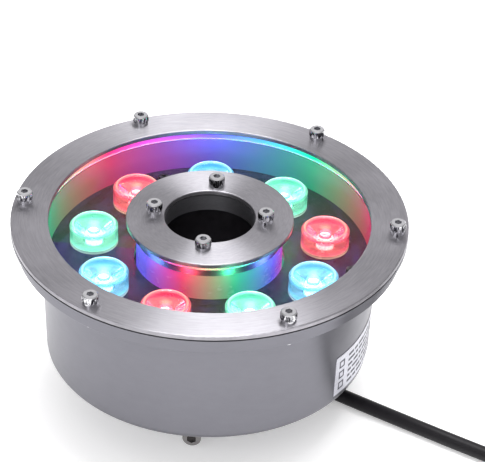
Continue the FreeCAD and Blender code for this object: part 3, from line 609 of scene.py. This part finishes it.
def lit_lens(index, hue):
    """A clear, tinted lens over a lit emitter, with its light painted on as a glow: a hot middle, a
    dimmer ring and a bright ring near the rim.
    """
    look = LED_COLOURS[hue]
    material, tree, shader = new_material(f"lens_{index + 1}", look["body"], IOR=1.3,
                                          Transmission_Weight=1.0, Emission_Strength=0.5)
    away = from_lens_axis(tree, led_centre(index), HOLDER_BORE)
    dim_painted_glow = tuple(x * 0.5 for x in look["lens"])
    # Painted glow of the LED's light through the lens, with a painted bright ring near the rim.
    feed(tree, shader, "Emission Color",
         ramp(tree, away, ((0.08, look["core"]), (0.32, look["lens"]), (0.55, dim_painted_glow),
                           (0.86, look["lens"]), (0.94, look["core"]), (1.0, look["lens"]))))
    ripple = noise(tree, scaled(tree, (1, 1, 1)), 700.0, 2.0)
    feed(tree, shader, "Roughness", spread(tree, ripple, 0.03, 0.09))
    bump(tree, shader, ripple, 0.00004)
    return material


def lit_holder(index, hue):
    """The clear, tinted cup round a lens, with its LED's light painted on as a glow that is
    brighter towards the board.
    """
    look = LED_COLOURS[hue]
    material, tree, shader = new_material(f"holder_{index + 1}", look["body"], IOR=1.3,
                                          Transmission_Weight=1.0, Emission_Strength=0.4)
    height = node(tree, "ShaderNodeSeparateXYZ", {0: place_of(tree)}).outputs["Z"]
    share = spread(tree, height, 0.0, 1.0, HOLDER_LOW * MM, HOLDER_HIGH * MM)
    dim_painted_glow = tuple(x * 0.3 for x in look["lens"])
    # Painted glow of the LED's light, brightest at the board.
    feed(tree, shader, "Emission Color",
         ramp(tree, share, ((0.0, look["core"]), (0.22, look["lens"]), (0.5, dim_painted_glow), (0.85, dim_painted_glow),
                            (1.0, look["lens"]))))
    haze = noise(tree, scaled(tree, (1, 1, 1)), 380.0, 3.0)
    feed(tree, shader, "Roughness", spread(tree, haze, 0.1, 0.28))
    bump(tree, shader, haze, 0.00004)
    return material


def lit_emitter(hue):
    look = LED_COLOURS[hue]
    material, tree, shader = new_material("emitter_" + hue, look["lens"], Emission_Strength=4.0,
                                          Roughness=0.3)
    dots = noise(tree, scaled(tree, (1, 1, 1)), 1500.0, 1.0)
    feed(tree, shader, "Emission Color",
         mixed(tree, spread(tree, dots, 0.0, 1.0), look["core"], look["lens"]))
    return material


def board_finish():
    """Black solder mask with ring-shaped traces; painted glints of the LEDs' light shine in fine
    specks over a faint painted glow of that light.
    """
    material, tree, shader = new_material("board_black", (0.006, 0.006, 0.014),
                                          Specular_IOR_Level=0.2, Emission_Strength=0.5)
    speck = noise(tree, scaled(tree, (1, 1, 1)), 900.0, 4.0, 0.75)
    traces = noise(tree, turned(tree, 5.0, 260.0, True), 1.0, 1.0)
    tone = mixed(tree, spread(tree, traces, 0.0, 1.0, 0.45, 0.6), (0.004, 0.004, 0.01),
                 (0.02, 0.018, 0.05))
    feed(tree, shader, "Base Color",
         mixed(tree, spread(tree, speck, 0.0, 1.0, 0.52, 0.72), tone, (0.07, 0.065, 0.08)))
    feed(tree, shader, "Roughness", spread(tree, speck, 0.22, 0.5))
    # Painted glints of the LEDs' light in fine specks, and a faint painted glow of it over the
    # board.
    painted_glints = noise(tree, scaled(tree, (1, 1, 1)), 1400.0, 3.0, 0.8)
    painted_glints = spread(tree, painted_glints, 0.0, 1.0, 0.56, 0.72)
    painted_glow = painted_led_glow(tree)
    glow = mixed(tree, 0.12, (0.0, 0.0, 0.0), painted_glow)
    feed(tree, shader, "Emission Color", mixed(tree, painted_glints, glow, painted_glow))
    bump(tree, shader, speck, 0.00012)
    return material


def label_foil():
    material, tree, shader = new_material("label_foil", (0.62, 0.62, 0.68), Metallic=0.35)
    grain = noise(tree, turned(tree, 4.0, 2200.0, False), 1.0, 4.0)
    feed(tree, shader, "Base Color",
         mixed(tree, spread(tree, grain, 0.0, 1.0), (0.52, 0.52, 0.58), (0.68, 0.68, 0.74)))
    feed(tree, shader, "Roughness", spread(tree, grain, 0.28, 0.42))
    bump(tree, shader, grain, 0.00001)
    return material


def woven_strap():
    """Black hook-and-loop strap: a plain weave in its height and tone."""
    material, tree, shader = new_material("tie_black", (0.02, 0.02, 0.022), Sheen_Weight=0.4)
    warp = node(tree, "ShaderNodeTexWave", {"Vector": scaled(tree, (1, 1, 1)), "Scale": 420.0,
                                            "Distortion": 1.0, "Detail": 2.0}, bands_direction="X")
    weft = node(tree, "ShaderNodeTexWave", {"Vector": scaled(tree, (1, 1, 1)), "Scale": 420.0,
                                            "Distortion": 1.0, "Detail": 2.0}, bands_direction="Y")
    weave = node(tree, "ShaderNodeMath", {0: warp.outputs["Fac"], 1: weft.outputs["Fac"]},
                 operation="MULTIPLY").outputs[0]
    feed(tree, shader, "Base Color", mixed(tree, weave, (0.012, 0.012, 0.014), (0.05, 0.05, 0.055)))
    feed(tree, shader, "Roughness", spread(tree, weave, 0.7, 0.95, 0.0, 1.0))
    bump(tree, shader, weave, 0.0003)
    return material


MATERIALS = {
    "steel": brushed_steel("steel", (0.166, 0.165, 0.185), (0.176, 0.175, 0.196), False,
                           roughness=(0.37, 0.39), anisotropy=0.5, line=300.0, relief=0.000001),
    "ring_steel": brushed_steel("ring_steel", (0.27, 0.265, 0.285), (0.38, 0.37, 0.40), True,
                                roughness=(0.34, 0.4), anisotropy=0.9, relief=0.000006),
    "collar_steel": brushed_steel("collar_steel", (0.34, 0.34, 0.37), (0.46, 0.46, 0.49), False),
    "polished_steel": polished_steel("polished_steel", (0.60, 0.60, 0.62), 0.06),
    "glass": clear_glass(),
    "gasket": grained("gasket", (0.02, 0.02, 0.022), 0.7, 900.0, 0.00006),
    "silicone": clear_silicone(),
    "board_black": board_finish(),
    "aluminium": grained("aluminium", (0.72, 0.72, 0.74), 0.35, 500.0, 0.00003, metallic=1.0),
    "driver_green": grained("driver_green", (0.03, 0.16, 0.07), 0.4, 400.0, 0.00003),
    "capacitor": grained("capacitor", (0.16, 0.16, 0.22), 0.3, 300.0, 0.00003),
    "copper_coil": grained("copper_coil", (0.62, 0.26, 0.09), 0.35, 1200.0, 0.0001, metallic=0.8),
    "black_steel": grained("black_steel", (0.02, 0.02, 0.022), 0.4, 900.0, 0.00002),
    "zinc_steel": polished_steel("zinc_steel", (0.68, 0.68, 0.64), 0.22),
    "gland_brass": polished_steel("gland_brass", (0.66, 0.64, 0.58), 0.18),
    "cable_black": grained("cable_black", (0.008, 0.007, 0.009), 0.42, 650.0, 0.00004,
                           Specular_IOR_Level=0.2),
    "tie_black": woven_strap(),
    "plug_black": grained("plug_black", (0.016, 0.016, 0.019), 0.45, 800.0, 0.00006),
    "pin_brass": polished_steel("pin_brass", (0.85, 0.66, 0.32), 0.15),
    "label_silver": label_foil(),
    "emitter_red": lit_emitter("red"),
    "emitter_green": lit_emitter("green"),
    "emitter_blue": lit_emitter("blue"),
}
LABEL_INK = grained("label_ink", (0.05, 0.05, 0.07), 0.45, 900.0, 0.00002)
# The housing's inside wall and the centre tube glow with painted LED light, in place of the LEDs'
# light and reflections on them.
INNER_STEEL_PAINTED_GLOW = steel_with_painted_led_glow("inner_steel_painted_glow", (0.05, 0.05, 0.055), 0.6, 0.4)
TUBE_STEEL_PAINTED_GLOW = steel_with_painted_led_glow("tube_steel_painted_glow", (0.12, 0.12, 0.125), 0.85, 0.22)
CLAMP_STEEL = polished_steel("clamp_steel", (0.26, 0.25, 0.25), 0.08)
KNURLED_STEEL = knurled_steel()
# Inside the centre tube and the collar: near-black steel, painted shade of the deep bore.
BORE_PAINTED_SHADE = grained("bore_painted_shade", (0.05, 0.045, 0.055), 0.45, 300.0, 0.00005, metallic=0.9)


# Faces nearer the axis than the radius and above the height, in mm, with their own material.
INSIDE_FACES = (
    ("housing_cup", INNER_STEEL_PAINTED_GLOW, 75.05, BODY_LOW + 1.0),
    ("centre_tube", BORE_PAINTED_SHADE, 33.0, 0.0),
    ("clamp_collar", BORE_PAINTED_SHADE, 31.0, 0.0),
)
CLAMP_SCREWS = 3


def dress(piece, material):
    piece.data.materials.clear()
    piece.data.materials.append(material)


def dress_inside(name, material, inner_radius, above):
    """Give a node's faces inside a radius, and above a height, their own material; in mm."""
    piece = frame["nodes"][name]
    piece.data.materials.append(material)
    for face in piece.data.polygons:
        x, y, z = (value / MM for value in face.center)
        outward = x * face.normal.x + y * face.normal.y
        if math.hypot(x, y) < inner_radius and z > above and outward <= 0.1:
            face.material_index = 1


def dress_everything():
    for row in frame["record"]["subparts"]:
        name, slot = row["node"], row["material_slot"]
        if slot in MATERIALS:
            dress(frame["nodes"][name], MATERIALS[slot])
    for index in range(LED_COUNT):
        hue = LED_ORDER[index % len(LED_ORDER)]
        dress(frame["nodes"][f"lens_{index + 1}"], lit_lens(index, hue))
        dress(frame["nodes"][f"lens_holder_{index + 1}"], lit_holder(index, hue))
    dress(frame["nodes"]["centre_tube"], TUBE_STEEL_PAINTED_GLOW)
    for index in range(CLAMP_SCREWS):
        dress(frame["nodes"][f"clamp_screw_{index + 1}"], CLAMP_STEEL)
    for name, material, radius, above in INSIDE_FACES:
        dress_inside(name, material, radius, above)
    for piece, material, slot in ((cable, MATERIALS["cable_black"], "cable_black"),
                                  (sleeve, MATERIALS["cable_black"], "cable_black"),
                                  (knurls, KNURLED_STEEL, "polished_steel")):
        dress(piece, material)
    dress(label_print, LABEL_INK)


dress_everything()


# ---- Light from the LEDs -----------------------------------------------------------------------

LED_POWER = {"red": 0.085, "green": 0.052, "blue": 0.13}
LED_LIGHT_HEIGHT = 84.2  # between the lenses and the glass


def add_led_lights():
    for index in range(LED_COUNT):
        hue = LED_ORDER[index % len(LED_ORDER)]
        data = bpy.data.lights.new(f"led_{index + 1}", "POINT")
        data.color = LED_COLOURS[hue]["light"]
        data.energy = LED_POWER[hue]
        data.shadow_soft_size = 0.003
        lamp = bpy.data.objects.new(f"led_{index + 1}", data)
        x, y = led_centre(index)
        lamp.location = (x * MM, y * MM, LED_LIGHT_HEIGHT * MM)
        lamp.visible_camera = lamp.visible_transmission = False
        scene.collection.objects.link(lamp)


add_led_lights()


# ---- Floor, sky and studio lights ----------------------------------------------------------------

def add_floor():
    half = 6.0
    mesh = bpy.data.meshes.new("floor")
    mesh.from_pydata([(-half, -half, 0), (half, -half, 0), (half, half, 0), (-half, half, 0)], [],
                     [(0, 1, 2, 3)])
    floor = bpy.data.objects.new("floor", mesh)
    scene.collection.objects.link(floor)
    material, tree, shader = new_material("floor", (0.93, 0.93, 0.93), Roughness=0.9,
                                          Emission_Strength=0.3)
    shader.inputs["Emission Color"].default_value = (1, 1, 1, 1)
    dress(floor, material)


def add_sky():
    """A pale sky: lighter overhead and dimmer at the two sides."""
    world = bpy.data.worlds.new("studio")
    scene.world = world
    world.use_nodes = True
    tree = world.node_tree
    direction = node(tree, "ShaderNodeTexCoord").outputs["Generated"]
    parts = node(tree, "ShaderNodeSeparateXYZ", {0: direction})
    side = node(tree, "ShaderNodeMath", {0: parts.outputs["X"]}, operation="ABSOLUTE").outputs[0]
    dim = spread(tree, side, 1.0, 0.5, 0.3, 1.0)
    height = spread(tree, parts.outputs["Z"], 0.8, 1.1, 0.0, 1.0)
    level = node(tree, "ShaderNodeMath", {0: dim, 1: height}, operation="MULTIPLY").outputs[0]
    tree.links.new(level, tree.nodes["Background"].inputs["Strength"])
    tree.nodes["Background"].inputs["Color"].default_value = (1.0, 0.99, 1.0, 1)


def add_softbox(name, place, size, power):
    data = bpy.data.lights.new(name, "AREA")
    data.shape, data.size, data.energy = "SQUARE", size, power
    lamp = bpy.data.objects.new(name, data)
    lamp.location = place
    aim = Vector((0, 0, 0.06)) - Vector(place)
    lamp.rotation_euler = aim.to_track_quat("-Z", "Y").to_euler()
    scene.collection.objects.link(lamp)


add_floor()
add_sky()
add_softbox("softbox_top", (0.1, 0.2, 1.6), 1.0, 26.0)
add_softbox("softbox_front", (-0.5, -1.3, 1.0), 0.7, 5.0)
scene.view_settings.view_transform = "Standard"

# ---- End ---------------------------------------------------------------------------------------

bpy.context.view_layer.update()
